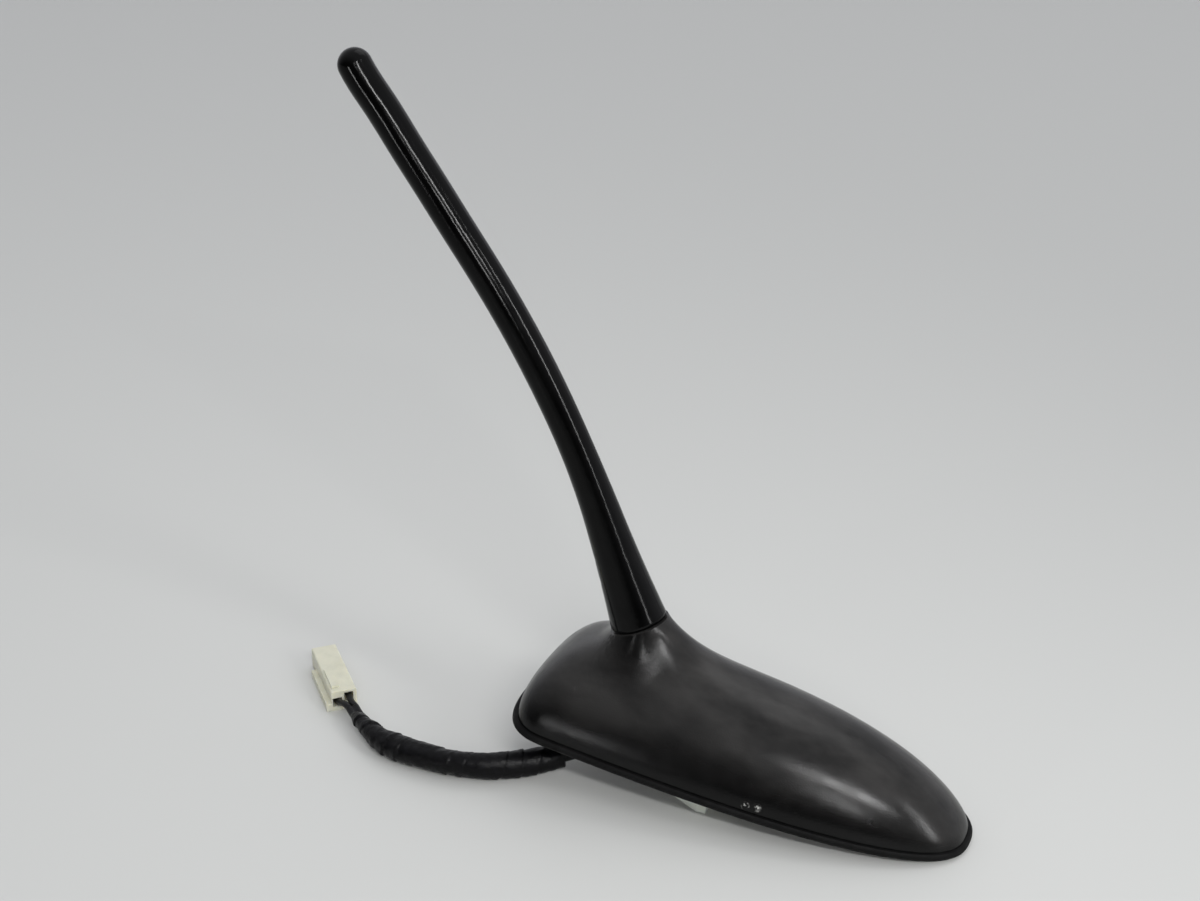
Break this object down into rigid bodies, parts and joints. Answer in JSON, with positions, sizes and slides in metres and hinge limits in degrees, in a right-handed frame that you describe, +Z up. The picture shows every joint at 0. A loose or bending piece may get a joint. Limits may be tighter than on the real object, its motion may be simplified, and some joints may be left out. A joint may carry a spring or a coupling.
{
  "type": "car roof aerial",
  "caption": "Raked whip on a teardrop roof base with a rubber gasket, snap collar, amplifier board and a taped lead that ends in a white plug; receives radio on a car roof.",
  "frame": {"origin": "on the axis of the roof bolt, in the plane of the gasket's underside, which is the roof's outer face", "axes": "+X towards the nose of the base, +Y to the left across it, +Z up and away from the roof"},
  "size_m": [0.1927, 0.0549, 0.1848],
  "materials": {
    "mast_skin": "semi-gloss moulded black skin",
    "glass_fibre": "drawn glass-fibre rod",
    "copper_wire": "enamelled copper",
    "turned_brass": "turned",
    "cover_plastic": "satin moulded black with fine grain and dust",
    "spring_bronze": "stamped strip",
    "circuit_board": "solder mask",
    "tinned_steel": "tin plate",
    "component_black": "moulded",
    "screw_steel": "zinc plated",
    "cast_zinc": "die cast",
    "gasket_rubber": "matte moulded rubber",
    "white_acetal": "moulded white",
    "cable_jacket": "smooth black jacket",
    "loom_tape": "wound black tape",
    "wire_black": "smooth black insulation",
    "milky_nylon": "milky moulded nylon"
  },
  "bodies": {
    "root": {"mast_sheath": "mast_skin", "mast_core_rod": "glass_fibre", "mast_winding": "copper_wire", "mast_ferrule": "turned_brass", "base_cover": "cover_plastic", "mast_socket": "turned_brass", "feed_spring": "spring_bronze", "amplifier_board": "circuit_board", "shield_can": "tinned_steel", "board_components": "component_black", "board_screws": "screw_steel", "base_plate": "cast_zinc", "cover_screws": "screw_steel", "base_gasket": "gasket_rubber", "roof_clip": "white_acetal", "cable_grommet": "gasket_rubber", "feeder_cable": "cable_jacket", "bare_lead": "cable_jacket", "lead_loom": "loom_tape", "signal_wire": "wire_black", "power_wire": "wire_black", "connector_housing": "milky_nylon", "connector_terminals": "spring_bronze"}
  },
  "joints": []
}
